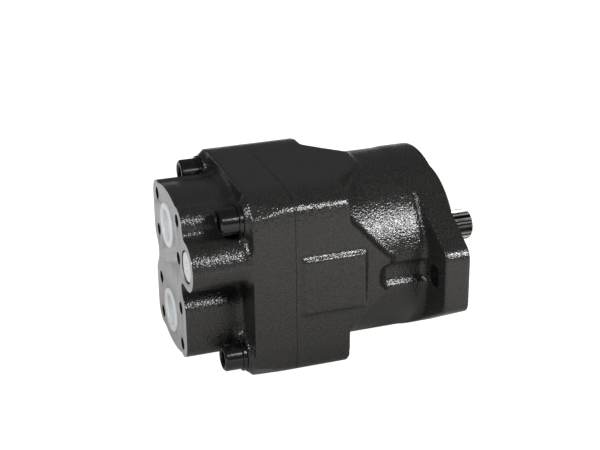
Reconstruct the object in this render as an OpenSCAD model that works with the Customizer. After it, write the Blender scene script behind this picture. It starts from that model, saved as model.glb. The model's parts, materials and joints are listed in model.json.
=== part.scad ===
// Two-lobe balanced vane motor with a two-bolt mounting flange.
// The shaft lies along +X, +Z is up, and the origin is where the shaft axis
// meets the mounting face. Both work ports and the drain open to the rear (-X).

/* [Cast body] */
// Width and height of the square block
block_w = 128; // [124:1:132]
// Radius of the small round on each corner of the block
block_corner_r = 8; // [7:0.5:8.5]
// Centre of that round from the shaft axis, in Y and in Z
block_corner_at = [55.2, 52]; // [51:0.2:55.6]
// Radius of the round barrel
barrel_r = 62.4; // [61:0.2:63]
// Mounting face to the joint between housing and end cap
joint_back = 109.4; // [109:0.2:111]
// Mounting face to the front of the block's corner posts
post_front = 72; // [70:1:74]
// Mounting face to the front of the top and bottom flats, which run on past the posts
flat_front = 48.5; // [48:0.5:50]
// Mounting face to the front of the two side flats
side_flat_front = 44; // [43.5:0.5:46]
// How much a flat's edges draw in for each millimetre forward
flat_slope = 1.1; // [0.9:0.05:1.15]
// Length and height of the raised pad on the side
pad_size = [46, 41]; // [36:1:48]
// Height of the pad's middle above the shaft axis
pad_z = 1.7; // [0:0.1:3]
// How far the pad stands out of the side
pad_rise = 2.6; // [1:0.2:4]

/* [Mounting flange] */
// Spacing of the two flange holes
flange_hole_spacing = 146; // [146:1:148]
// Diameter of the flange holes
flange_hole_d = 14.3; // [13:0.1:15]
// Thickness of the flange
flange_t = 17; // [15:0.5:18]
// Radius of the round middle of the flange
flange_r = 63; // [62.6:0.2:64]
// Mounting face centre to the tip of an ear
ear_reach = 90.2; // [88:0.2:92]
// Height of the straight ear tip between its corner rounds
ear_tip_h = 30; // [28:1:34]
// Corner radius of the ear tip
ear_corner_r = 9.5; // [6:0.5:10]
// Diameter of the pilot
pilot_d = 101.6; // [101.5:0.05:101.6]
// Height of the pilot above the mounting face
pilot_h = 10; // [9.5:0.1:10]

/* [End cap] */
// Mounting face to the port face
port_back = 177; // [174:1:180]
// Mounting face to the rear of the cap's square plate
plate_back = 137.5; // [134:0.5:138]
// Mounting face to the screw seats
seat_back = 141.5; // [140:0.5:143]
// Screw centre from the shaft axis, in Y and in Z
screw_offset = 48; // [47.5:0.5:48.5]

/* [Ports] */
// Port centre from the shaft axis
port_offset = 31; // [30:0.5:32]
// Port bore
port_d = 25.4; // [24:0.1:26]
// Port bolt spacing across (Y)
port_bolts_y = 52.4; // [52:0.1:53]
// Port bolt spacing along the line of the ports (Z)
port_bolts_z = 26.2; // [26:0.1:26.6]
// Drain port centre, Y and Z
drain_at = [-46, 20]; // [-47:0.5:21]

/* [Shaft] */
// Major diameter of the spline
spline_d = 21.8; // [21.6:0.1:22]
// Number of spline teeth
spline_teeth = 13; // [13:1:13]
// Mounting face to the end of the shaft
shaft_reach = 42; // [40:1:46]

/* [Vane kit] */
// Number of vanes, ten so that each pair of cam lobes sees the same five angles
vane_n = 10; // [10:2:10]
// Radius of the rotor
rotor_r = 35.5; // [35:0.1:35.6]
// Smallest radius of the cam
cam_minor = 36; // [36:0.1:36.4]
// Travel of a vane between the cam's small and large radius
cam_stroke = 4; // [3:0.25:4.5]
// Width of the cam ring along the shaft
cam_w = 40; // [38:1:40]

/* [Hidden] */
$fn = 96;
eps = 0.01;
half = block_w / 2;
plate_t = 17;
front_plate_t = 14;
cam_back = joint_back - plate_t;
cam_front = cam_back - cam_w;
front_plate_front = cam_front - front_plate_t;
cavity_front = front_plate_front - 2.4;
cavity_r = 48;
cavity_gap = 0.3;
kit_gap = 0.1;
bolt_lobe_r = 12;
port_bolt_r = 4.25;
port_bolt_deep = 22;
drain_lobe_r = 16.2;
drain_root_r = 17.5;
drain_mouth_r = 11;
drain_mouth_deep = 1.4;
drain_thread_r = 8.7;
washer_t = 2.5;
washer_r = 10.5;
screw_head_r = 9;
screw_head_h = 12;
screw_r = 6;
screw_thread_r = 5.05;
screw_end = 84;
post_round_r = 2.2;
// Each tapered flat: the angle of its normal from +Z about +X, how far it reaches
// to either side where it leaves the posts, and where it ends
flats = [[0, 41.5, 33, flat_front], [90, 36, 43, side_flat_front],
    [180, 33, 33, flat_front], [270, 38, 38, side_flat_front]];
tapped_r = 5.1;
seat_boss_r = 11.5;
corner_reach = norm(block_corner_at) + block_corner_r;
// Radius of the crown that leads from a flat face to a corner round
crown_r = 45;
seat_reach = corner_reach - 2.5;
bearing_r = 31;
bearing_front = 5;
bearing_w = 16;
bearing_back = bearing_front + bearing_w;
bearing_pitch_r = 23;
bearing_ball_r = 4.6;
bearing_groove_r = 4.9;
bearing_ball_n = 9;
journal_r = 15;
snap_groove_r = 33;
shaft_groove_r = 14;
mid_shaft_r = 14;
rotor_spline_r = 14.5;
rotor_spline_n = 16;
rear_journal_r = 10;
needle_shell_r = 13;
needle_pitch_r = 11;
needle_r = 0.85;
needle_n = 18;
needle_front = 111;
needle_back = 129;
shaft_back = 131;
slot_root_r = 23.5;
slot_w = 2.3;
vane_t = 2;
vane_h = 9.5;
vane_tip_r = rotor_r + 0.2;
pin_r = 1;
pin_bottom_r = 17.8;
kidney_r = [34.5, 40];
gallery_a_r = [35, 44];
gallery_b_r = [18.5, 29];
gallery_deep = 12;
plate_hole_r = 16;
dowel_r = 3;
dowel_offset = 42;
shuttle_x = -front_plate_front - 5.4;
shuttle_z = 28;
shuttle_bore_r = 3.5;
iron = [0.11, 0.11, 0.11];
steel = [0.72, 0.73, 0.75];
black_oxide = [0.06, 0.06, 0.065];
white_plastic = [0.92, 0.93, 0.95];
nitrile = [0.07, 0.07, 0.07];
bronze = [0.72, 0.55, 0.3];
corners = [[1, 1], [-1, 1], [-1, -1], [1, -1]];

// ---- helpers ----

// Extrudes a shape drawn in (Y, Z) from x = from to x = to
module along_x(from, to) translate([from, 0, 0]) rotate([90, 0, 90]) linear_extrude(to - from) children();

// A round bar on a line parallel to the shaft, centred at y, z
module bar(from, to, r, y = 0, z = 0) along_x(from, to) translate([y, z]) circle(r = r);

// Turns a shape drawn in (radius, x) about the shaft axis
module turned() rotate([0, 90, 0]) rotate_extrude() children();

// A tube about the shaft axis
module tube(from, to, inner, outer) along_x(from, to) difference() {
    circle(r = outer);
    circle(r = inner);
}

// A ring of round section about the shaft axis
module round_ring(x, r, section_r) turned() translate([r, x]) circle(r = section_r, $fn = 32);

// Where the crown leaves a flat face, so that it runs into the corner round:
// along and up are the round's centre, measured along the face and square to it
function crown_start(along, up) =
    along - sqrt(pow(crown_r - block_corner_r, 2) - pow(up - half + crown_r, 2));

// Points on an arc about a centre
function arc(centre, r, a0, a1, steps) =
    [for (i = [0 : steps]) centre + r * [cos(a0 + (a1 - a0) * i / steps), sin(a0 + (a1 - a0) * i / steps)]];

// Section of the block: each face is flat in the middle and crowned towards the corners
module block_section() {
    y = block_corner_at[0];
    z = block_corner_at[1];
    top_start = crown_start(y, z);
    side_start = crown_start(z, y);
    top_end = acos((y - top_start) / (crown_r - block_corner_r));
    side_end = asin((z - side_start) / (crown_r - block_corner_r));
    quarter = concat(arc([half - crown_r, side_start], crown_r, 0, side_end, 1),
        arc([top_start, half - crown_r], crown_r, top_end, 90, 3));
    back = [for (i = [len(quarter) - 1 : -1 : 0]) quarter[i]];
    polygon(concat(quarter, [for (p = back) [-p[0], p[1]]], [for (p = quarter) -p],
        [for (p = back) [p[0], -p[1]]]));
    for (c = corners) translate([c[0] * y, c[1] * z]) circle(r = block_corner_r);
}

// Part of a ring between two radii, centred on angle a and spanning da each way
module ring_sector(r, a, da) intersection() {
    difference() {
        circle(r = r[1]);
        circle(r = r[0]);
    }
    rotate(a) polygon([[0, 0], for (t = [-da : da / 4 : da]) 2 * r[1] * [cos(t), sin(t)]]);
}

// Outline of a splined bar: n straight-sided teeth between the root and tip radius
module spline_outline(n, root_r, tip_r, tip_share) {
    pitch = 360 / n;
    polygon([for (i = [0 : n - 1]) for (p = [[-0.36, root_r], [-tip_share / 2, tip_r],
        [tip_share / 2, tip_r], [0.36, root_r]]) p[1] * [cos((i + p[0]) * pitch), sin((i + p[0]) * pitch)]]);
}

// ---- housing ----

// Flange outline: a round middle with a tangent ear on each side
module flange_outline() {
    corner = [ear_reach - ear_corner_r, ear_tip_h / 2];
    lean = atan2(corner[1], corner[0]) + acos((flange_r - ear_corner_r) / norm(corner));
    normal = [cos(lean), sin(lean)];
    circle(r = flange_r);
    for (side = [-1, 1]) {
        polygon([for (p = [[0, flange_r * sin(lean)], flange_r * normal, corner + ear_corner_r * normal,
            [ear_reach, corner[1]]]) [side * p[0], p[1]],
            for (p = [[ear_reach, -corner[1]], [corner[0] + ear_corner_r * normal[0],
            -corner[1] - ear_corner_r * normal[1]], [flange_r * normal[0], -flange_r * normal[1]],
            [0, -flange_r * sin(lean)]]) [side * p[0], p[1]]]);
        for (up = [-1, 1]) translate([side * corner[0], up * corner[1]]) circle(r = ear_corner_r);
    }
}

// The block with its corner posts, whose front ends are rounded over
module posts() {
    round_x = -post_front - post_round_r;
    round_at = corner_reach - post_round_r;
    intersection() {
        along_x(-joint_back, -post_front) block_section();
        turned() {
            translate([0, -joint_back]) square([corner_reach + 1, joint_back + round_x]);
            translate([0, round_x - 1]) square([round_at, post_round_r + 1]);
            translate([round_at, round_x]) circle(r = post_round_r);
        }
    }
}

// The four flats run on past the posts and taper towards the barrel
module tapered_flats() intersection() {
    along_x(-post_front - 2, -side_flat_front) block_section();
    for (f = flats) {
        draw_in = flat_slope * (post_front - f[3]);
        rotate([f[0], 0, 0]) linear_extrude(half) polygon([[-post_front - 2, -f[1]], [-post_front, -f[1]],
            [-f[3], draw_in - f[1]], [-f[3], f[2] - draw_in], [-post_front, f[2]], [-post_front - 2, f[2]]]);
    }
}

// Raised pad with bevelled edges on the -Y side
module side_pad() {
    bevel = 2.2;
    pad_front = -60.5;
    mid_x = pad_front - pad_size[0] / 2;
    l = pad_size[0] / 2;
    h = pad_size[1] / 2;
    back = 3;
    translate([0, 0, pad_z]) intersection() {
        translate([mid_x, -half, -h]) linear_extrude(2 * h)
            polygon([[-l, back], [-l, 0], [-l + bevel, -pad_rise],
                [l - bevel, -pad_rise], [l, 0], [l, back]]);
        translate([mid_x - l, -half, 0]) rotate([90, 0, 90]) linear_extrude(2 * l)
            polygon([[back, -h], [0, -h], [-pad_rise, -h + bevel],
                [-pad_rise, h - bevel], [0, h], [back, h]]);
    }
}

// Round fillet between the barrel and the rear of the flange
module flange_fillet() {
    r = 5;
    turned() difference() {
        polygon([[barrel_r - 1, -flange_t - r], [barrel_r, -flange_t - r], [barrel_r + r, -flange_t],
            [barrel_r + r, 1 - flange_t], [barrel_r - 1, 1 - flange_t]]);
        translate([barrel_r + r, -flange_t - r]) circle(r = r);
    }
}

// Flat-bottomed recess in the barrel that clears a flange bolt's head
module bolt_head_recess(side) {
    recess_h = 17;
    floor_y = 58.5;
    round_r = 5;
    depth = 20;
    along_x(-flange_t - 34, -flange_t) translate([side * (floor_y + depth / 2), 0]) {
        square([depth, recess_h - 2 * round_r], center = true);
        square([depth - 2 * round_r, recess_h], center = true);
        for (c = corners)
            translate([c[0] * (depth / 2 - round_r), c[1] * (recess_h / 2 - round_r)]) circle(r = round_r);
    }
}

module housing() color(iron) difference() {
    union() {
        posts();
        tapered_flats();
        bar(-joint_back, -flange_t / 2, barrel_r);
        along_x(-flange_t, 0) flange_outline();
        intersection() {
            flange_fillet();
            along_x(-flange_t - 6, 0) flange_outline();
        }
        turned() polygon([[0, -1], [pilot_d / 2, -1], [pilot_d / 2, pilot_h - 1.5],
            [pilot_d / 2 - 1.5, pilot_h], [0, pilot_h]]);
        side_pad();
    }
    for (side = [-1, 1]) {
        bar(-flange_t - 1, 1, flange_hole_d / 2, side * flange_hole_spacing / 2);
        bolt_head_recess(side);
    }
    // bearing and seal bore, open to the front
    bar(-bearing_back, pilot_h + 1, bearing_r);
    turned() polygon([[bearing_r - 1, pilot_h - 1], [bearing_r + 1, pilot_h + 1],
        [bearing_r - 1, pilot_h + 1]]);
    tube(-bearing_front, -bearing_front + 2, bearing_r - 1, snap_groove_r);
    bar(-28, -bearing_back + 1, 25);
    bar(-cavity_front - 1, -27, 18);
    // cavity for the vane kit
    bar(-joint_back - 1, -cavity_front, cavity_r);
    tube(-joint_back - 1, -joint_back + 2.6, 51, 54.4);
    for (c = corners)
        bar(-joint_back - 1, -screw_end + 5, tapped_r, c[0] * screw_offset, c[1] * screw_offset);
}

// ---- end cap ----

// Outline of the port boss: a pair of wide lobes joined at a waist. The corners have
// the radius of the bolt bosses, the waist is a tangent concave arc on each side and
// the outer ends are shallow crowns.
module port_outline() {
    y1 = port_bolts_y / 2;
    z1 = port_offset - port_bolts_z / 2;
    crown_z = 56;
    crown_r = 77;
    z2 = 41;
    waist_y = y1 + sqrt(4 * bolt_lobe_r * bolt_lobe_r - z1 * z1);
    difference() {
        union() {
            for (up = [-1, 1]) for (side = [-1, 1]) {
                translate([side * y1, up * z1]) circle(r = bolt_lobe_r);
                translate([side * y1, up * z2]) circle(r = bolt_lobe_r);
            }
            for (up = [-1, 1]) {
                translate([0, up * (z1 + z2) / 2]) square([2 * (y1 + bolt_lobe_r), z2 - z1], center = true);
                intersection() {
                    translate([0, up * (crown_z - crown_r)]) circle(r = crown_r);
                    translate([-y1 - 4, up > 0 ? 0 : -crown_z]) square([2 * y1 + 8, crown_z]);
                }
            }
            square([2 * (y1 + bolt_lobe_r / 2), 2 * z1], center = true);
        }
        for (side = [-1, 1]) translate([side * waist_y, 0]) circle(r = bolt_lobe_r);
    }
}

// Outline of the drain boss: a round lobe carried into the side of the port boss,
// flat below and with a tangent concave arc above
module drain_outline() {
    side_y = -port_bolts_y / 2 - bolt_lobe_r;
    fillet_r = 6;
    fillet_y = side_y - fillet_r;
    fillet_z = drain_at[1] + sqrt(pow(drain_lobe_r + fillet_r, 2) - pow(fillet_y - drain_at[0], 2));
    translate(drain_at) circle(r = drain_lobe_r);
    translate([drain_at[0], drain_at[1] - drain_lobe_r]) square([-drain_at[0] - 26, drain_lobe_r]);
    difference() {
        polygon([[drain_at[0], drain_at[1]], [fillet_y, fillet_z], [side_y, fillet_z], [side_y + 8, fillet_z],
            [side_y + 8, drain_at[1]]]);
        translate([fillet_y, fillet_z]) circle(r = fillet_r);
    }
}

// Screw seat: a round land that flares out to the corner of the plate
module seat_boss(c) translate([0, c[0] * screw_offset, c[1] * screw_offset]) turned() difference() {
    flare_r = seat_back - plate_back + 1.5;
    polygon([[0, -seat_back], [seat_boss_r - 0.6, -seat_back], [seat_boss_r, -seat_back + 0.6],
        [seat_boss_r + flare_r, -seat_back + 0.6], [seat_boss_r + flare_r, 1 - plate_back],
        [0, 1 - plate_back]]);
    translate([seat_boss_r + flare_r, -seat_back + 0.6]) circle(r = flare_r);
}

module end_cap() color(iron) difference() {
    union() {
        intersection() {
            union() {
                along_x(-plate_back, -joint_back) block_section();
                intersection() {
                    for (c = corners) seat_boss(c);
                    along_x(-seat_back, 1 - plate_back) block_section();
                }
            }
            // the corners draw in towards the screw seats, from a cone that starts just outside them
            turned() polygon([[0, -seat_back - 1], [seat_reach, -seat_back - 1], [seat_reach, -seat_back],
                [corner_reach + 0.3, -joint_back - 4], [corner_reach + 1, 1 - joint_back],
                [0, 1 - joint_back]]);
        }
        along_x(-port_back, 1 - plate_back) port_outline();
        along_x(-port_back, 1 - plate_back) drain_outline();
        translate([0, drain_at[0], drain_at[1]]) turned()
            polygon([[0, -port_back], [drain_lobe_r, -port_back], [drain_root_r, 1 - plate_back],
            [0, 1 - plate_back]]);
    }
    for (up = [-1, 1]) {
        bar(-port_back - 1, -150, port_d / 2, 0, up * port_offset);
        for (s = corners) {
            y = s[0] * port_bolts_y / 2;
            z = up * port_offset + s[1] * port_bolts_z / 2;
            bar(-port_back - 1, -port_back + port_bolt_deep, port_bolt_r, y, z);
        }
    }
    // passages from the ports to the two ring galleries in the joint face
    bar(-151, -joint_back - gallery_deep + 1, 7, 0, 39);
    bar(-151, -joint_back - gallery_deep + 1, 6.5, 0, -25);
    tube(-joint_back - gallery_deep, -joint_back + 1, gallery_a_r[0], gallery_a_r[1]);
    tube(-joint_back - gallery_deep, -joint_back + 1, gallery_b_r[0], gallery_b_r[1]);
    tube(-joint_back - 2.2, -joint_back + 1, 30.4, 33.6);
    bar(-133, -joint_back + 1, needle_shell_r);
    // drain port and its drilling to the rear bearing
    bar(-port_back - 1, -port_back + drain_mouth_deep, drain_mouth_r, drain_at[0], drain_at[1]);
    bar(-port_back - 1, -port_back + 19, drain_thread_r, drain_at[0], drain_at[1]);
    bar(-port_back - 1, -124, 4, drain_at[0], drain_at[1]);
    translate([-127, 0, 0]) rotate([atan2(drain_at[1], drain_at[0]), 0, 0]) rotate([-90, 0, 0])
        cylinder(h = norm(drain_at), r = 2.5);
    for (c = corners) bar(-seat_back - 1, -joint_back + 1, 6.6, c[0] * screw_offset, c[1] * screw_offset);
}

module cap_screw(i) {
    c = corners[i];
    head = seat_back + washer_t + screw_head_h;
    color(black_oxide) translate([0, c[0] * screw_offset, c[1] * screw_offset]) difference() {
        union() {
            turned() polygon([[0, -head], [screw_head_r - 1.2, -head], [screw_head_r, -head + 1.2],
                [screw_head_r, -head + screw_head_h], [0, -head + screw_head_h]]);
            bar(-head + 1, -joint_back, screw_r);
            turned() polygon([[0, -joint_back - 1], [screw_thread_r, -joint_back - 1],
                [screw_thread_r, -screw_end - 1], [screw_thread_r - 1, -screw_end], [0, -screw_end]]);
        }
        along_x(-head - 1, -head + 6) circle(r = 5 / cos(30), $fn = 6);
        turned() polygon([[0, -head - 1], [6.6, -head - eps], [5.6, -head + 1], [0, -head + 1]]);
    }
}

module cap_washer(i) {
    c = corners[i];
    color(black_oxide) translate([0, c[0] * screw_offset, c[1] * screw_offset]) turned()
        polygon([[6.5, -seat_back], [6.5, -seat_back - washer_t], [washer_r - 0.4, -seat_back - washer_t],
        [washer_r, -seat_back - washer_t + 0.4], [washer_r, -seat_back - 0.3], [washer_r - 0.3, -seat_back]]);
}

// Hollow shipping plug: a rim that lies on the face and a cup inside the bore
module bore_plug(y, z, face, rim_r, rim_t, cup_r, cup_len, hole_r, floor_deep) color(white_plastic)
    translate([0, y, z]) turned()
    polygon([[0, -face + floor_deep], [hole_r - 0.8, -face + floor_deep], [hole_r, -face - rim_t + 1.2],
        [hole_r + 0.8, -face - rim_t], [rim_r - 0.7, -face - rim_t], [rim_r, -face - rim_t + 0.7],
        [rim_r, -face], [cup_r, -face], [cup_r, -face + cup_len - 2], [cup_r - 1.5, -face + cup_len],
        [cup_r - 2.5, -face + cup_len], [cup_r - 2.5, -face + floor_deep + 1.6],
        [0, -face + floor_deep + 1.6]]);

module port_plug(up) bore_plug(0, up * port_offset, port_back, 15.25, 1.4, port_d / 2 - 0.05, 16, 10.3, 8);
module drain_plug() bore_plug(drain_at[0], drain_at[1], port_back - drain_mouth_deep, 10.2, 1,
    drain_thread_r - 0.05, 12, 3, 6);
module body_o_ring() color(nitrile) round_ring(-joint_back + 1.25, 52.7, 1.24);
module gallery_o_ring() color(nitrile) round_ring(-joint_back - 1.1, 32, 1.09);

// ---- shaft and its bearings ----

module shaft() color(steel) {
    spline_end = 10;
    difference() {
        intersection() {
            along_x(spline_end - 1, shaft_reach)
                spline_outline(spline_teeth, spline_d / 2 - 1.75, spline_d / 2, 0.3);
            turned() polygon([[0, 0], [spline_d / 2 + 1, 0], [spline_d / 2 + 1, shaft_reach - 2.6],
                [spline_d / 2 - 1.5, shaft_reach], [0, shaft_reach]]);
        }
        turned() polygon([[0, shaft_reach - 5], [1.6, shaft_reach - 4], [3.4, shaft_reach + eps],
            [0, shaft_reach + eps]]);
    }
    difference() {
        turned() polygon([[0, spline_end], [spline_d / 2 - 1.9, spline_end], [journal_r, spline_end - 2],
            [journal_r, -bearing_back], [17.5, -bearing_back], [17.5, -bearing_back - 4],
            [mid_shaft_r, -bearing_back - 6], [mid_shaft_r, -cam_front + 2],
            [rotor_spline_r - 1.5, -cam_front + 2], [rotor_spline_r - 1.5, -cam_back - 4],
            [12.5, -cam_back - 6], [12.5, -108],
            [rear_journal_r, -109], [rear_journal_r, 1 - shaft_back], [rear_journal_r - 1, -shaft_back],
            [0, -shaft_back]]);
        tube(-bearing_front, -bearing_front + 1.8, shaft_groove_r, journal_r + 1);
    }
    along_x(-cam_back - 2, -cam_front + 2.5)
        spline_outline(rotor_spline_n, rotor_spline_r - 2, rotor_spline_r, 0.3);
}

module shaft_snap_ring() color(steel) along_x(-bearing_front + 0.1, -bearing_front + 1.7) difference() {
    circle(r = 17);
    circle(r = shaft_groove_r + 0.05);
    translate([-3, -20]) square([6, 20]);
}

module housing_snap_ring() color(steel) along_x(-bearing_front + 0.1, -bearing_front + 1.9) difference() {
    union() {
        difference() {
            circle(r = snap_groove_r - 0.1);
            circle(r = 28.5);
        }
        for (side = [-1, 1]) translate([side * 6.5, -27.5]) circle(r = 3);
    }
    translate([-4, -34]) square([8, 12]);
    for (side = [-1, 1]) translate([side * 6.5, -27.2]) circle(r = 1.2);
}

module shaft_seal() color(nitrile) turned() difference() {
    polygon([[bearing_r - 0.05, 6.5], [bearing_r - 0.05, -1.5], [bearing_r - 2, -1.5], [bearing_r - 2, 4.3],
        [19.2, 4.3], [18.4, -0.8], [16, -0.8], [journal_r + 0.08, 1], [17.3, 3], [17.3, 6.5]]);
    translate([19, 1]) circle(r = 0.9, $fn = 24);
}

module seal_spring() color(steel) round_ring(1, 19.1, 0.75);

module bearing_race(inner, outer) color(steel) difference() {
    tube(-bearing_back, -bearing_front, inner, outer);
    round_ring(-(bearing_front + bearing_back) / 2, bearing_pitch_r, bearing_groove_r);
}

module front_bearing_outer() bearing_race(26.6, bearing_r - 0.02);
module front_bearing_inner() bearing_race(journal_r + 0.02, 19.4);
module at_each_ball() for (i = [0 : bearing_ball_n - 1]) rotate([i * 360 / bearing_ball_n, 0, 0])
    translate([-(bearing_front + bearing_back) / 2, bearing_pitch_r, 0]) children();
module front_bearing_balls() color(steel) at_each_ball() sphere(r = bearing_ball_r);
module front_bearing_cage() color(bronze) difference() {
    tube(-17, -9, 21.3, 24.7);
    at_each_ball() sphere(r = bearing_ball_r + 0.12);
}

module rear_bearing_shell() color(steel) {
    lip_r = rear_journal_r + 0.4;
    lip_t = 0.8;
    race_r = 12;
    turned() polygon([[needle_shell_r - 0.02, -needle_front], [needle_shell_r - 0.02, -needle_back],
        [lip_r, -needle_back], [lip_r, lip_t - needle_back], [race_r, lip_t - needle_back],
        [race_r, -needle_front - lip_t], [lip_r, -needle_front - lip_t], [lip_r, -needle_front]]);
}
module rear_bearing_rollers() color(steel) for (i = [0 : needle_n - 1]) rotate([i * 360 / needle_n, 0, 0])
    bar(-needle_back + 2, -needle_front - 2, needle_r, needle_pitch_r);
module rear_bearing_cage() color(bronze) difference() {
    tube(-needle_back + 1, -needle_front - 1, 10.6, 11.4);
    for (i = [0 : needle_n - 1]) rotate([i * 360 / needle_n, 0, 0])
        bar(-needle_back + 1.9, -needle_front - 1.9, needle_r + 0.1, needle_pitch_r);
}

// ---- vane kit ----

// Angles are measured from +Y, the cam's small radius, towards +Z
function cam_r(a) = cam_minor + cam_stroke * (1 - cos(2 * a)) / 2;

module dowel_holes(from, to) for (side = [-1, 1]) bar(from, to, dowel_r + 0.1, side * dowel_offset);

module cam_ring() color(steel) difference() {
    along_x(-cam_back, -cam_front) difference() {
        circle(r = cavity_r - cavity_gap);
        polygon([for (a = [0 : 3 : 357]) cam_r(a) * [cos(a), sin(a)]]);
    }
    dowel_holes(-cam_back - 1, -cam_front + 1);
}

module front_plate() color(bronze) difference() {
    bar(-cam_front, -front_plate_front, cavity_r - cavity_gap);
    bar(-cam_front - 1, -front_plate_front + 1, plate_hole_r);
    for (a = [45 : 90 : 315]) along_x(-cam_front - 1, -cam_front + 4) ring_sector(kidney_r, a, 24);
    tube(-front_plate_front - 12, -front_plate_front - 8.8, cavity_r - cavity_gap - 2.2, cavity_r);
    dowel_holes(-cam_front - 1, -cam_front + 9);
    translate([shuttle_x, 0, shuttle_z]) rotate([90, 0, 0])
        cylinder(h = 90, r = shuttle_bore_r, center = true);
}

module rear_plate() color(bronze) difference() {
    bar(-joint_back, -cam_back, cavity_r - cavity_gap);
    bar(-joint_back - 1, -cam_back + 1, plate_hole_r);
    for (a = [45, 225]) along_x(-joint_back - 1, -cam_back + 1) ring_sector([35.2, 40], a, 24);
    // the other pair steps inwards to meet the inner gallery
    for (a = [135, 315]) {
        along_x(-cam_back - 6, -cam_back + 1) ring_sector(kidney_r, a, 24);
        along_x(-cam_back - 11, -cam_back - 5) ring_sector([20, 40], a, 24);
        along_x(-joint_back - 1, -cam_back - 10) ring_sector([20, 28], a, 24);
    }
    dowel_holes(-cam_back - 13, -cam_back + 1);
}

module plate_seal() color(nitrile) round_ring(-front_plate_front - 10.4, 46.65, 1.05);

module plate_spring() color(steel) turned()
    polygon([[30, -cavity_front - 2.3], [44, -cavity_front - 1.4], [44, -cavity_front - 0.1],
    [30, -cavity_front - 1]]);

module dowel_pins() color(steel) for (side = [-1, 1])
    bar(-cam_back - 12.5, -cam_front + 8.5, dowel_r, side * dowel_offset);

module shuttle_spool() color(steel) translate([shuttle_x, 0, shuttle_z]) rotate([90, 0, 0]) rotate_extrude()
    polygon([[0, -6], [2.4, -6], [3.4, -5], [3.4, -1.5], [2.4, -1], [2.4, 1], [3.4, 1.5], [3.4, 5],
    [2.4, 6], [0, 6]]);

module shuttle_plugs() color(steel) for (side = [-1, 1]) translate([shuttle_x, side * 23, shuttle_z])
    rotate([90, 0, 0]) difference() {
        cylinder(h = 26, r = shuttle_bore_r - 0.02, center = true);
        translate([0, 0, -side * 10]) cylinder(h = 8, r = 2, $fn = 6, center = true);
    }

module rotor() color(steel) difference() {
    bar(-cam_back + kit_gap, -cam_front - kit_gap, rotor_r);
    along_x(-cam_back - 1, -cam_front + 1)
        spline_outline(rotor_spline_n, rotor_spline_r - 1.4, rotor_spline_r + 0.1, 0.36);
    for (k = [0 : vane_n - 1]) rotate([vane_angle(k), 0, 0]) {
        translate([-cam_back - 1, slot_root_r, -slot_w / 2]) cube([cam_w + 2, rotor_r, slot_w]);
        bar(-cam_back - 1, -cam_front + 1, 2, slot_root_r);
        translate([-(cam_back + cam_front) / 2, pin_bottom_r - 0.7, 0]) rotate([-90, 0, 0])
            cylinder(h = slot_root_r - pin_bottom_r + 0.7, r = pin_r + 0.1);
    }
}

// Vanes stand 18 degrees off the cam's small radius, so each sits in step with its opposite
function vane_angle(k) = (k + 0.5) * 360 / vane_n;

module vane(k) color(steel) rotate([vane_angle(k), 0, 0]) translate([-cam_back + kit_gap, 0, 0])
    rotate([90, 0, 90]) linear_extrude(cam_w - 2 * kit_gap) polygon([[vane_tip_r - vane_h, -vane_t / 2],
    [vane_tip_r - 0.4, -vane_t / 2], [vane_tip_r, -0.4], [vane_tip_r, 0.4], [vane_tip_r - 0.4, vane_t / 2],
    [vane_tip_r - vane_h, vane_t / 2]]);

module vane_pin(k) color(steel) rotate([vane_angle(k), 0, 0])
    translate([-(cam_back + cam_front) / 2, pin_bottom_r, 0]) rotate([-90, 0, 0])
    cylinder(h = vane_tip_r - vane_h - pin_bottom_r, r = pin_r);

housing();
end_cap();
for (i = [0 : 3]) {
    cap_screw(i);
    cap_washer(i);
}
port_plug(1);  // port_plug_a
port_plug(-1);  // port_plug_b
drain_plug();
body_o_ring();
gallery_o_ring();
shaft();
shaft_snap_ring();
housing_snap_ring();
shaft_seal();
seal_spring();
front_bearing_outer();
front_bearing_inner();
front_bearing_balls();
front_bearing_cage();
rear_bearing_shell();
rear_bearing_rollers();
rear_bearing_cage();
front_plate();
rear_plate();
plate_seal();
plate_spring();
dowel_pins();
shuttle_spool();
shuttle_plugs();
cam_ring();
rotor();
for (k = [0 : vane_n - 1]) {
    label = str(k < 9 ? "0" : "", k + 1);
    vane(k);
    vane_pin(k);
}
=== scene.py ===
"""The looks of the hydraulic motor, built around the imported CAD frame. Everything is in metres."""
import json
import math

import bmesh
import bpy
import numpy as np
import openvdb
from mathutils import Matrix, Vector


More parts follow.
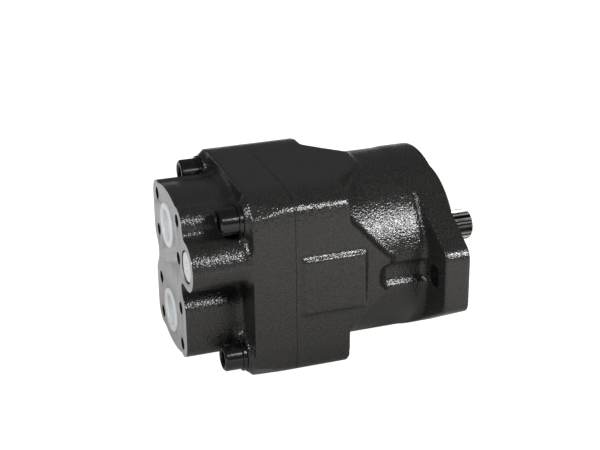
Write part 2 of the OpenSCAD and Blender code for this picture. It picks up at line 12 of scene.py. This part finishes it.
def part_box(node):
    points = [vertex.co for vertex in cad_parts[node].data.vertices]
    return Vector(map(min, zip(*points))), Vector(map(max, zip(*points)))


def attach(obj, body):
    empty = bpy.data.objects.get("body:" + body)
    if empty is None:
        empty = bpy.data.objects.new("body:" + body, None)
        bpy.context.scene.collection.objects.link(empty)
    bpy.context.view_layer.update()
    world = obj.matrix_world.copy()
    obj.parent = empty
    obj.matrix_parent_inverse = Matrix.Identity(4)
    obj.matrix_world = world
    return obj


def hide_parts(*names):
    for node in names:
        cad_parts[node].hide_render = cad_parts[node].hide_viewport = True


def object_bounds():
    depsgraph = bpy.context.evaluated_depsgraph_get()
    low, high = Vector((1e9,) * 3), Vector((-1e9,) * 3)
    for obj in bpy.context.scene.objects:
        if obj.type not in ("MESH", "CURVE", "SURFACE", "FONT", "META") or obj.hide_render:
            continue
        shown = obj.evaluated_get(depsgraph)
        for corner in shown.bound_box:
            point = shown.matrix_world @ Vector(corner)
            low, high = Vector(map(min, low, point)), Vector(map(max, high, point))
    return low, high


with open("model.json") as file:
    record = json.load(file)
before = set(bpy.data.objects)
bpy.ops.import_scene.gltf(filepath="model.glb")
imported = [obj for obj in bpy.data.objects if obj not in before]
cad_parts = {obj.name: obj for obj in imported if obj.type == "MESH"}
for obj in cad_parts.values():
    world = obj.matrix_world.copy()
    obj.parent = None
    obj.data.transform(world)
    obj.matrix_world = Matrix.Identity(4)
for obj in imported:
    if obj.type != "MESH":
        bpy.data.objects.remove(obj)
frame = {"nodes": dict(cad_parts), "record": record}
cad_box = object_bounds()

MM = 0.001


# ---------------------------------------------------------------- camera, lights and floor

CAMERA_AT = Vector((-361.2, -803.55, 372.97)) * MM
CAMERA_AZIMUTH, CAMERA_ELEVATION, CAMERA_ROLL = (math.radians(a) for a in (-18.99, 22.71, -0.67))
LENS = 80.81           # millimetres, on a 36 mm sensor
WORLD_LIGHT = 0.12
PAPER_GLOW = 1.1       # what the camera sees of the floor
FLOOR_NEAR, FLOOR_FAR = 0.06, 0.24         # from the motor's middle, where the floor's glow goes from dim to bright: a painted shadow under the motor
FLOOR_DIM, FLOOR_RISE = 0.12, 0.62
FLOOR_DROP = 0.2 * MM  # clearance between the motor and the floor


def add_camera():
    """A long lens looks down from the left front, past the port end towards the shaft."""
    azimuth, elevation, roll = CAMERA_AZIMUTH, CAMERA_ELEVATION, CAMERA_ROLL
    back = Vector((math.sin(azimuth) * math.cos(elevation),
                   -math.cos(azimuth) * math.cos(elevation), math.sin(elevation)))
    level_right = Vector((math.cos(azimuth), math.sin(azimuth), 0))
    level_up = back.cross(level_right)
    right = level_right * math.cos(roll) + level_up * math.sin(roll)
    up = level_up * math.cos(roll) - level_right * math.sin(roll)
    data = bpy.data.cameras.new("camera")
    data.lens = LENS
    data.sensor_width = 36
    camera = bpy.data.objects.new("camera", data)
    bpy.context.scene.collection.objects.link(camera)
    turn = Matrix((right, up, back)).transposed().to_4x4()
    camera.matrix_world = Matrix.Translation(CAMERA_AT) @ turn
    bpy.context.scene.camera = camera


def add_softbox(name, towards, distance, size, power, aim=Vector((-0.07, 0, 0))):
    """A rectangular lamp that lies in the given direction from the motor and faces it."""
    data = bpy.data.lights.new(name, "AREA")
    data.shape = "RECTANGLE"
    data.size, data.size_y = size
    data.energy = power
    lamp = bpy.data.objects.new(name, data)
    lamp.location = aim + Vector(towards).normalized() * distance
    lamp.rotation_euler = (lamp.location - aim).to_track_quat("Z", "Y").to_euler()
    bpy.context.scene.collection.objects.link(lamp)


def add_studio():
    """Two small softboxes in a dim room. The camera alone sees the room as white paper."""
    scene = bpy.context.scene
    scene.view_settings.view_transform = "Standard"
    world = bpy.data.worlds.new("studio")
    world.use_nodes = True
    tree = world.node_tree
    light = tree.nodes["Background"]
    light.inputs["Color"].default_value = (0.97, 0.98, 1, 1)
    light.inputs["Strength"].default_value = WORLD_LIGHT
    paper = tree.nodes.new("ShaderNodeBackground")
    paper.inputs["Color"].default_value = (1, 1, 1, 1)
    rays = tree.nodes.new("ShaderNodeLightPath")
    mix = tree.nodes.new("ShaderNodeMixShader")
    tree.links.new(rays.outputs["Is Camera Ray"], mix.inputs["Fac"])
    tree.links.new(light.outputs["Background"], mix.inputs[1])
    tree.links.new(paper.outputs["Background"], mix.inputs[2])
    tree.links.new(mix.outputs["Shader"], tree.nodes["World Output"].inputs["Surface"])
    scene.world = world
    add_softbox("key", (0.36, -0.73, 0.56), 1.0, (0.3, 0.2), 10)
    add_softbox("left", (-0.72, -0.34, 0.58), 1.0, (0.2, 0.2), 5)


def add_floor():
    """A white sweep. The camera sees it paper white, and the motor sees its glow painted dimmer close by: a
    painted shadow under the motor.
    """
    middle = (Vector(cad_box[0]) + Vector(cad_box[1])) / 2
    bpy.ops.mesh.primitive_plane_add(size=6, location=(middle.x, middle.y, cad_box[0][2] - FLOOR_DROP))
    floor = bpy.context.object
    floor.name = "floor"
    shader = Shader("floor_paper")
    shader.set_colour("Base Color", (0.25, 0.25, 0.25))
    shader.set_colour("Emission Color", (1, 0.965, 0.92))
    shader.set(Roughness=0.9, **{"Specular IOR Level": 0.0})
    away = shader.tree.nodes.new("ShaderNodeVectorMath")
    away.operation = "LENGTH"
    shader.link(shader.where, away.inputs[0])
    # The floor's glow is painted dim near the motor and bright further out: a painted shadow under the motor.
    painted_shadow_glow = shader.math("MULTIPLY_ADD", shader.ramp(away.outputs["Value"], FLOOR_NEAR, FLOOR_FAR), FLOOR_RISE)
    painted_shadow_glow.node.inputs[2].default_value = FLOOR_DIM
    rays = shader.tree.nodes.new("ShaderNodeLightPath")
    seen = shader.math("MULTIPLY", rays.outputs["Is Camera Ray"], PAPER_GLOW)
    shader.link(shader.math("MAXIMUM", painted_shadow_glow, seen), shader.bsdf.inputs["Emission Strength"])
    floor.data.materials.append(shader.material)


# ---------------------------------------------------------------- materials

class Shader:
    """A material with one Principled shader, and short calls to add nodes in front of it."""

    def __init__(self, name):
        self.material = bpy.data.materials.new(name)
        self.material.use_nodes = True
        self.tree = self.material.node_tree
        self.bsdf = self.tree.nodes["Principled BSDF"]
        self.where = self.tree.nodes.new("ShaderNodeTexCoord").outputs["Object"]

    def set(self, **values):
        """Sets sockets of the shader to numbers."""
        for name, value in values.items():
            self.bsdf.inputs[name].default_value = value

    def set_colour(self, socket, colour):
        self.bsdf.inputs[socket].default_value = (*colour, 1)

    def link(self, source, target):
        self.tree.links.new(source, target)

    def noise(self, size, detail=2.0, roughness=0.5, stretch=(1, 1, 1)):
        """Noise whose blotches are about size metres across, drawn out along an axis by stretch."""
        scale = self.tree.nodes.new("ShaderNodeMapping")
        scale.inputs["Scale"].default_value = [1 / (size * s) for s in stretch]
        self.link(self.where, scale.inputs["Vector"])
        node = self.tree.nodes.new("ShaderNodeTexNoise")
        node.inputs["Scale"].default_value = 1
        node.inputs["Detail"].default_value = detail
        node.inputs["Roughness"].default_value = roughness
        self.link(scale.outputs["Vector"], node.inputs["Vector"])
        return node.outputs["Fac"]

    def axis_distance(self):
        """Distance from the shaft's axis."""
        flat = self.tree.nodes.new("ShaderNodeMapping")
        flat.inputs["Scale"].default_value = (0, 1, 1)
        self.link(self.where, flat.inputs["Vector"])
        node = self.tree.nodes.new("ShaderNodeVectorMath")
        node.operation = "LENGTH"
        self.link(flat.outputs["Vector"], node.inputs[0])
        return node.outputs["Value"]

    def math(self, operation, a, b):
        node = self.tree.nodes.new("ShaderNodeMath")
        node.operation = operation
        for socket, value in zip(node.inputs, (a, b)):
            if isinstance(value, (int, float)):
                socket.default_value = value
            else:
                self.link(value, socket)
        return node.outputs[0]

    def ramp(self, source, low, high):
        """Source from low to high, spread to 0 to 1."""
        node = self.tree.nodes.new("ShaderNodeMapRange")
        node.inputs["From Min"].default_value = low
        node.inputs["From Max"].default_value = high
        self.link(source, node.inputs["Value"])
        return node.outputs["Result"]

    def blend(self, factor, a, b):
        """Colour a where factor is 0, b where it is 1."""
        node = self.tree.nodes.new("ShaderNodeMix")
        node.data_type = "RGBA"
        self.link(factor, node.inputs["Factor"])
        for socket, value in ((node.inputs[6], a), (node.inputs[7], b)):
            if isinstance(value, tuple):
                socket.default_value = (*value, 1)
            else:
                self.link(value, socket)
        return node.outputs[2]

    def colour(self, source):
        self.link(source, self.bsdf.inputs["Base Color"])

    def roughness(self, factor, low, high):
        """Roughness low where factor is 0, high where it is 1."""
        node = self.tree.nodes.new("ShaderNodeMapRange")
        node.inputs["To Min"].default_value = low
        node.inputs["To Max"].default_value = high
        self.link(factor, node.inputs["Value"])
        self.link(node.outputs["Result"], self.bsdf.inputs["Roughness"])

    def bumps(self, *layers):
        """Stacks (height source, height in metres) as bumps, coarse first."""
        normal = None
        for source, height in layers:
            node = self.tree.nodes.new("ShaderNodeBump")
            node.inputs["Strength"].default_value = 1
            node.inputs["Distance"].default_value = height
            self.link(source, node.inputs["Height"])
            if normal is not None:
                self.link(normal, node.inputs["Normal"])
            normal = node.outputs["Normal"]
        self.link(normal, self.bsdf.inputs["Normal"])


def cast_paint():
    """Satin black paint over sand-cast iron: the sand's grain breaks up every highlight."""
    s = Shader("cast_paint")
    grain = s.noise(1.15 * MM, 1.5, 0.45)
    coarse = s.noise(3.2 * MM, 2)
    waves = s.noise(22 * MM, 1)
    speckle = s.ramp(s.noise(1.1 * MM, 3, 0.6), 0.35, 0.65)
    s.colour(s.blend(speckle, (0.006, 0.006, 0.006), (0.022, 0.021, 0.0195)))
    s.roughness(s.ramp(coarse, 0.3, 0.7), 0.18, 0.26)
    s.bumps((waves, 0.35 * MM), (coarse, 0.12 * MM), (grain, 0.36 * MM))
    return s.material


def machined_iron():
    """Milled grey iron: fine crossing tool marks and a little stain."""
    s = Shader("machined_iron")
    marks = s.noise(0.5 * MM, 2, 0.5, (1, 9, 1))
    stain = s.ramp(s.noise(14 * MM, 3), 0.3, 0.75)
    s.colour(s.blend(stain, (0.49, 0.49, 0.505), (0.42, 0.42, 0.435)))
    s.set(Metallic=0.6)
    s.roughness(marks, 0.52, 0.66)
    s.bumps((marks, 0.03 * MM))
    return s.material


def painted_shade_bore():
    """Drilled or tapped iron, painted near black: painted shade inside the holes."""
    s = Shader("painted_shade_bore")
    # Near-black colour: painted shade inside drilled and tapped holes.
    s.colour(s.blend(s.noise(2 * MM, 2), (0.004, 0.004, 0.004), (0.012, 0.011, 0.01)))
    s.set(**{"Specular IOR Level": 0.05})
    s.roughness(s.noise(0.5 * MM, 2), 0.55, 0.75)
    return s.material


def ground_steel(name="ground_steel", colour=(0.62, 0.63, 0.65), rough=(0.2, 0.34)):
    """Bright metal with fine marks round the axis, in steel's colour or another metal's."""
    s = Shader(name)
    marks = s.noise(0.25 * MM, 2, 0.5, (1, 14, 14))
    s.colour(s.blend(s.noise(6 * MM, 2), colour, tuple(0.82 * c for c in colour)))
    s.set(Metallic=1.0)
    s.roughness(marks, *rough)
    s.bumps((marks, 0.008 * MM))
    return s.material


def shaft_steel():
    """Hobbed spline: metal with fine marks along the teeth, a trace of oil, and painted shade that darkens
    the gaps between the teeth.
    """
    s = Shader("shaft_steel")
    marks = s.noise(0.3 * MM, 3, 0.6, (14, 1, 1))
    oil = s.ramp(s.noise(5 * MM, 2), 0.4, 0.7)
    tops = s.blend(oil, (0.34, 0.33, 0.32), (0.17, 0.16, 0.145))
    # Near black towards the roots of the teeth: painted shade in the gaps between them.
    gap_shade_ramp = s.ramp(s.axis_distance(), 9.6 * MM, 10.5 * MM)
    s.colour(s.blend(gap_shade_ramp, (0.02, 0.019, 0.018), tops))
    s.set(Metallic=1.0)
    s.roughness(marks, 0.14, 0.28)
    s.bumps((marks, 0.012 * MM))
    return s.material


def black_oxide():
    """Oiled black oxide on a rolled and turned screw."""
    s = Shader("black_oxide")
    turned = s.noise(0.35 * MM, 2, 0.5, (1, 20, 20))
    worn = s.ramp(s.noise(3 * MM, 4, 0.6), 0.55, 0.8)
    s.colour(s.blend(worn, (0.004, 0.004, 0.0045), (0.014, 0.0135, 0.013)))
    s.set(**{"Specular IOR Level": 0.55})
    s.roughness(turned, 0.1, 0.2)
    s.bumps((turned, 0.012 * MM))
    return s.material


def plug_plastic(name, colour, tint, through):
    """Soft moulded plastic with faint flow marks."""
    s = Shader(name)
    flow = s.ramp(s.noise(5 * MM, 3), 0.3, 0.7)
    s.colour(s.blend(flow, colour, tint))
    s.set(**{"Subsurface Weight": through, "Subsurface Scale": 3 * MM, "IOR": 1.5})
    s.roughness(s.noise(1.2 * MM, 2), 0.34, 0.5)
    s.bumps((s.noise(0.8 * MM, 2), 0.02 * MM))
    return s.material


def nitrile():
    """Matt black rubber of the seals."""
    s = Shader("nitrile")
    s.colour(s.blend(s.noise(3 * MM, 3), (0.014, 0.014, 0.014), (0.024, 0.024, 0.025)))
    s.roughness(s.noise(0.6 * MM, 2), 0.45, 0.62)
    s.bumps((s.noise(0.5 * MM, 2), 0.015 * MM))
    return s.material


# ---------------------------------------------------------------- pieces

def paint_nodes():
    """Gives every CAD node the material of its slot in the record."""
    slots = {row["node"]: row["material_slot"] for row in frame["record"]["subparts"]}
    finish = {
        "cast_paint": cast_paint(),
        "machined": machined_iron(),
        "bore": painted_shade_bore(),
        "shipping_plug": plug_plastic("port_plug_plastic", (0.7, 0.72, 0.74), (0.62, 0.645, 0.67), 0.1),
        "drain_plug": plug_plastic("drain_plug_plastic", (0.68, 0.695, 0.71), (0.6, 0.62, 0.64), 0.1),
        "nitrile": nitrile(),
        "shaft_steel": shaft_steel(),
        "spring_steel": ground_steel("spring_steel", (0.30, 0.31, 0.34), (0.3, 0.42)),
        "bearing_steel": ground_steel(),
        "vane_steel": ground_steel("vane_steel", (0.5, 0.5, 0.52), (0.24, 0.36)),
        "brass_cage": ground_steel("brass_cage", (0.72, 0.53, 0.27), (0.26, 0.4)),
        "port_plate": ground_steel("port_plate", (0.6, 0.43, 0.26), (0.28, 0.42)),
        "black_oxide": black_oxide(),
    }
    for name, node in frame["nodes"].items():
        node.data.materials.clear()
        node.data.materials.append(finish[slots[name]])
    return finish


# ---------------------------------------------------------------- cast skins

VOXEL = 0.6 * MM
BAND = 12          # how many voxels of distance are kept on each side of a surface
GRID = openvdb.createLinearTransform(voxelSize=VOXEL)


class Field:
    """A block of grid points that holds distances to a surface, negative inside it."""

    def __init__(self, low, high):
        room = BAND + 2
        self.first = np.floor(np.array(low) / VOXEL).astype(int) - room
        self.shape = np.ceil(np.array(high) / VOXEL).astype(int) + room - self.first
        self.x, self.y, self.z = (
            ((self.first[i] + np.arange(self.shape[i])) * VOXEL).astype(np.float32).reshape(
                [-1 if j == i else 1 for j in range(3)]) for i in range(3))

    def distance(self, points, triangles, quads):
        """Distances to a closed mesh."""
        grid = openvdb.FloatGrid.createLevelSetFromPolygons(
            points, triangles=triangles, quads=quads, transform=GRID, halfWidth=BAND)
        values = np.zeros(self.shape, np.float32)
        grid.copyToArray(values, ijk=tuple(int(i) for i in self.first))
        return values

    def surface(self, values, level=0.0, adaptivity=0.0):
        """Points, triangles and quads of the surface where values equals level."""
        grid = openvdb.FloatGrid(BAND * VOXEL)
        grid.copyFromArray(np.ascontiguousarray(values), ijk=tuple(int(i) for i in self.first))
        grid.transform = GRID
        return grid.convertToPolygons(isovalue=level, adaptivity=adaptivity)

    def cylinder(self, start, end, radius, y=0.0, z=0.0):
        """Distances to a bar along X."""
        across = np.hypot(self.y - y, self.z - z) - radius
        along = np.abs(self.x - (start + end) / 2) - (end - start) / 2
        return np.maximum(across, along)

    def closed(self, values, radius):
        """Fills every hollow edge with a fillet of this radius."""
        return self.distance(*self.surface(values, radius)) + radius

    def opened(self, values, radius):
        """Rounds every outer edge to this radius."""
        values = self.distance(*self.surface(values))
        return self.distance(*self.surface(values, -radius)) - radius


def step(values, low, high):
    """0 below low and 1 above high, smooth between."""
    t = np.clip((values - low) / (high - low), 0, 1)
    return t * t * (3 - 2 * t)


def welded(name):
    """A CAD node's mesh with its faces joined: a bmesh that closes."""
    mesh = bmesh.new()
    mesh.from_mesh(frame["nodes"][name].data)
    bmesh.ops.remove_doubles(mesh, verts=mesh.verts, dist=0.0001 * MM)
    bmesh.ops.triangulate(mesh, faces=mesh.faces)
    return mesh


def stretched(name, faces):
    """A node's points and triangles, with the points that each (test, shift) of faces picks moved along X."""
    mesh = welded(name)
    points = np.array([v.co for v in mesh.verts], np.float32)
    triangles = np.array([[v.index for v in f.verts] for f in mesh.faces], np.uint32)
    mesh.free()
    for test, shift in faces:
        points[test(points), 0] += shift
    return points, triangles


def new_piece(name, points, triangles, quads):
    mesh = bpy.data.meshes.new(name)
    faces = [tuple(t) for t in triangles.tolist()] + [tuple(q) for q in quads.tolist()]
    mesh.from_pydata(points.tolist(), [], faces)
    piece = bpy.data.objects.new(name, mesh)
    bpy.context.scene.collection.objects.link(piece)
    edit = bmesh.new()
    edit.from_mesh(mesh)
    bmesh.ops.recalc_face_normals(edit, faces=edit.faces)
    edit.to_mesh(mesh)
    edit.free()
    return piece


def as_object(name, edit):
    """Makes a bmesh an object of the scene, and frees the bmesh."""
    mesh = bpy.data.meshes.new(name)
    edit.to_mesh(mesh)
    edit.free()
    piece = bpy.data.objects.new(name, mesh)
    bpy.context.scene.collection.objects.link(piece)
    return piece


def bar(start, end, radius, y=0.0, z=0.0, sides=96):
    """A round bar along X to cut or join with."""
    edit = bmesh.new()
    turns = [2 * math.pi * k / sides for k in range(sides)]
    back, front = ([edit.verts.new((x, y + radius * math.cos(turn), z + radius * math.sin(turn)))
                    for turn in turns] for x in (start, end))
    for k in range(sides):
        n = (k + 1) % sides
        edit.faces.new((back[k], back[n], front[n], front[k]))
    edit.faces.new(back)
    edit.faces.new(front)
    bmesh.ops.recalc_face_normals(edit, faces=edit.faces)
    return as_object("tool", edit)


def slab(start, end):
    """Everything between two planes across the shaft."""
    return bar(start, end, FAR, sides=4)


def copy_of_node(name):
    """A CAD node's closed mesh to join with."""
    return as_object("tool", welded(name))


def combine(piece, operation, *tools):
    """Applies exact booleans to piece and removes the tools."""
    for tool in tools:
        change = piece.modifiers.new("cut", "BOOLEAN")
        change.operation = operation
        change.solver = "MANIFOLD"
        change.object = tool
    evaluated = piece.evaluated_get(bpy.context.evaluated_depsgraph_get())
    result = bpy.data.meshes.new_from_object(evaluated)
    piece.modifiers.clear()
    piece.data = result
    for tool in tools:
        bpy.data.objects.remove(tool)
    return piece


JOINT_GAP = 0.3 * MM      # the line that shows between the end cap and the housing
REACH = 4 * MM            # how far a machined face is moved out while the casting is filleted
FAR = 0.3                 # reaches past the whole motor
OVERLAP = 0.02 * MM       # by which an exact inside overlaps the skin that it joins
ON_FACE = 0.02 * MM       # a face this close to a machined plane lies in it
NEAR = 0.05 * MM          # a point this close to a plane or a hole belongs to it
SHARP = math.radians(50)  # edges from this angle on stay sharp
FLATNESS = 0.01           # how freely nearly flat stretches of a skin share larger faces

# The end cap along the shaft and across it. A stop is wider than the hole that it fills for a while.
CORE_R, CORE_BACK = 47 * MM, -136 * MM              # the bored middle, exact as in the CAD
PORT_R, PORT_STOP_R, PORT_END = 12.7 * MM, 13.5 * MM, -150 * MM
GALLERIES = ((7 * MM, 39 * MM), (6.5 * MM, -25 * MM))     # radius and height of each port's gallery
GALLERY_BACK = -151 * MM
PORT_BOLT_DEPTH, PORT_BOLT_STOP_R = 22 * MM, 6.5 * MM
DRAIN_MOUTH_R, DRAIN_MOUTH_DEPTH = 11 * MM, 1.4 * MM
DRAIN_R, DRAIN_STOP_R, DRAIN_DEPTH = 8.7 * MM, 12 * MM, 19 * MM
SEAT_BACK = -141.4 * MM                             # where the screws' washers sit
SCREW_HOLE_R, SCREW_STOP_R = 6.6 * MM, 7.5 * MM
CAP_FILLET, CAP_ROUND = 4.5 * MM, 1.3 * MM

# The housing
CAVITY_R, CAVITY_FRONT = 56 * MM, -20 * MM          # the wide bore for the cam ring
NOSE_R, NOSE_BACK = 51 * MM, -21 * MM               # the inside ahead of it, exact as in the CAD
PILOT_R = 50.8 * MM
FLANGE_BACK, EAR_STOP_R = -17 * MM, 8.5 * MM
TAP_R, TAP_STOP_R, TAP_END = 5.1 * MM, 6.2 * MM, -79 * MM
PAD_FOOT, PAD_TOP = -61 * MM, -63.5 * MM            # Y of the side pad, whose edges stay crisp
RECESS_AT = -41 * MM                                # X of the middle of the recesses for the bolt heads
HOUSING_FILLET, PAD_FILLET, RECESS_FILLET = 4 * MM, 1.2 * MM, 6 * MM
HOUSING_ROUND, RECESS_ROUND = 1.1 * MM, 2.6 * MM


def join_lines():
    """X of the port face, the joint between cap and housing, and the mounting face."""
    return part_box("end_cap")[0].x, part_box("end_cap")[1].x, 0.0


def mounts_named(*names):
    return [mount for mount in frame["record"]["mounts"] if mount["name"] in names]


def middle_of(node):
    return sum(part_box(node), Vector()) / 2


def cap_screws():
    """Middles of the screws that hold the end cap."""
    return [middle_of(f"cap_screw_{i}") for i in range(1, 5)]


def filled(field, solid, bars):
    """Solid with its holes stopped by bars, so that their mouths stay sharp."""
    for stop in bars:
        solid = np.minimum(solid, field.cylinder(*stop))
    return solid


def field_around(points, triangles):
    """A field that holds a closed mesh, and the distances to that mesh."""
    field = Field(points.min(0), points.max(0))
    return field, field.distance(points, triangles, np.zeros((0, 4), np.uint32))


def finished(piece, node, body, finish, faces, holes):
    """Paints the piece. The flat faces at the given X are machined, and the holes (start, end, radius,
    y, z) get the near-black bore paint: painted shade inside the holes."""
    mesh = piece.data
    mesh.materials.clear()
    for name in ("cast_paint", "machined", "bore"):
        mesh.materials.append(finish[name])
    for polygon in mesh.polygons:
        x, y, z = polygon.center
        if abs(polygon.normal.x) > 0.99 and any(abs(x - face) < ON_FACE for face in faces):
            polygon.material_index = 1
        elif any(start < x < end and math.hypot(y - at_y, z - at_z) < radius + NEAR
                 for start, end, radius, at_y, at_z in holes):
            # Faces inside the listed holes get the near-black bore paint: painted shade.
            polygon.material_index = 2
        polygon.use_smooth = polygon.material_index != 1
    mesh.set_sharp_from_angle(angle=SHARP)
    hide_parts(node)
    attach(piece, body)
    return piece


def cast_end_cap(finish):
    """The end cap as a casting: filleted and rounded, then milled and drilled."""
    port_face, joint, _ = join_lines()
    ports = mounts_named("port_a_bolts", "port_b_bolts")
    port_heights = [mount["pos_m"][2] for mount in ports]
    bolt_r = ports[0]["dims"]["hole_r_mm"] * MM
    bolts = [(mount["pos_m"][1] + side * mount["dims"]["spacing_x_mm"] * MM / 2,
              mount["pos_m"][2] + up * mount["dims"]["spacing_y_mm"] * MM / 2)
             for mount in ports for side in (-1, 1) for up in (-1, 1)]
    screws = cap_screws()
    drain = middle_of("drain_plug")

    field, solid = field_around(*stretched("end_cap", [
        (lambda p: p[:, 0] < port_face + NEAR, -REACH),
        (lambda p: p[:, 0] > joint - NEAR, REACH)]))
    outside = port_face - REACH
    stops = [(CORE_BACK - 2 * MM, joint + REACH, CORE_R)]
    stops += [(outside, CORE_BACK, PORT_STOP_R, 0, z) for z in port_heights]
    stops += [(outside, port_face + PORT_BOLT_DEPTH + 2 * MM, PORT_BOLT_STOP_R, y, z) for y, z in bolts]
    stops += [(outside, CORE_BACK, DRAIN_STOP_R, drain.y, drain.z)]
    stops += [(SEAT_BACK, joint + REACH, SCREW_STOP_R, at.y, at.z) for at in screws]
    solid = field.closed(filled(field, solid, stops), CAP_FILLET)
    solid = field.opened(solid, CAP_ROUND)
    piece = new_piece("cast_end_cap", *field.surface(solid, 0, FLATNESS))

    combine(piece, "INTERSECT", slab(port_face, joint - JOINT_GAP))
    combine(piece, "DIFFERENCE", bar(CORE_BACK, joint + MM, CORE_R))
    inside = bar(CORE_BACK - OVERLAP, joint + MM, CORE_R + OVERLAP)
    combine(piece, "UNION", combine(copy_of_node("end_cap"), "INTERSECT", inside))
    tapped = [(port_face - MM, port_face + PORT_BOLT_DEPTH, bolt_r, y, z) for y, z in bolts]
    holes = tapped + [(port_face - MM, PORT_END, PORT_R, 0, z) for z in port_heights]
    holes += [(GALLERY_BACK, CORE_BACK + MM, radius, 0, z) for radius, z in GALLERIES]
    holes += [(port_face - MM, port_face + DRAIN_MOUTH_DEPTH, DRAIN_MOUTH_R, drain.y, drain.z),
              (port_face - MM, port_face + DRAIN_DEPTH, DRAIN_R, drain.y, drain.z)]
    holes += [(SEAT_BACK - 1.6 * MM, joint + MM, SCREW_HOLE_R, at.y, at.z) for at in screws]
    combine(piece, "DIFFERENCE", *[bar(*hole) for hole in holes])
    return finished(piece, "end_cap", "motor_body", finish, [port_face], tapped)


def cast_housing(finish):
    """The housing as a casting: filleted and rounded, then milled, bored and tapped."""
    _, joint, mounting = join_lines()
    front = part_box("housing")[1].x
    flange = mounts_named("flange_bolts")[0]
    ears = [side * flange["dims"]["spacing_x_mm"] * MM / 2 for side in (-1, 1)]
    screws = cap_screws()
    cavity = (joint - REACH, CAVITY_FRONT, CAVITY_R)
    nose = (NOSE_BACK, front, NOSE_R)

    field, solid = field_around(*stretched("housing", [
        (lambda p: p[:, 0] < joint + NEAR, -REACH),
        (lambda p: (np.abs(p[:, 0]) < NEAR) & (np.hypot(p[:, 1], p[:, 2]) > PILOT_R + 0.1 * MM), REACH)]))
    stops = [cavity, nose]
    stops += [(FLANGE_BACK + 0.1 * MM, mounting + REACH, EAR_STOP_R, y) for y in ears]
    stops += [(joint - REACH, TAP_END + MM, TAP_STOP_R, at.y, at.z) for at in screws]
    solid = filled(field, solid, stops)
    pad = 1 - step(field.y, PAD_TOP, PAD_FOOT)
    recess = (step(np.abs(field.y), 44 * MM, 48 * MM) * (1 - step(np.abs(field.z), 13 * MM, 17 * MM))
              * (1 - step(np.abs(field.x - RECESS_AT), 16 * MM, 20 * MM)))
    soft = field.closed(solid, HOUSING_FILLET)
    soft += (field.closed(solid, PAD_FILLET) - soft) * pad
    soft += (field.closed(solid, RECESS_FILLET) - soft) * recess
    rounded = field.opened(soft, HOUSING_ROUND)
    rounded += (field.opened(soft, RECESS_ROUND) - rounded) * recess
    piece = new_piece("cast_housing", *field.surface(rounded, 0, FLATNESS))

    combine(piece, "INTERSECT", slab(joint, mounting))
    combine(piece, "DIFFERENCE", *[bar(back - MM, ahead + MM, radius)
                                   for back, ahead, radius in (cavity, nose)])
    inside = combine(bar(cavity[0], cavity[1], CAVITY_R + OVERLAP), "UNION",
                     bar(nose[0], nose[1] + MM, NOSE_R + OVERLAP))
    combine(piece, "UNION", combine(copy_of_node("housing"), "INTERSECT", inside))
    bolt_holes = [(FLANGE_BACK - MM, MM, flange["dims"]["hole_r_mm"] * MM, y, 0) for y in ears]
    holes = bolt_holes + [(joint - MM, TAP_END, TAP_R, at.y, at.z) for at in screws]
    combine(piece, "DIFFERENCE", *[bar(*hole) for hole in holes])
    return finished(piece, "housing", "motor_body", finish, [mounting, front], bolt_holes)


add_camera()
add_studio()
add_floor()
finish = paint_nodes()
cast_end_cap(finish)
cast_housing(finish)
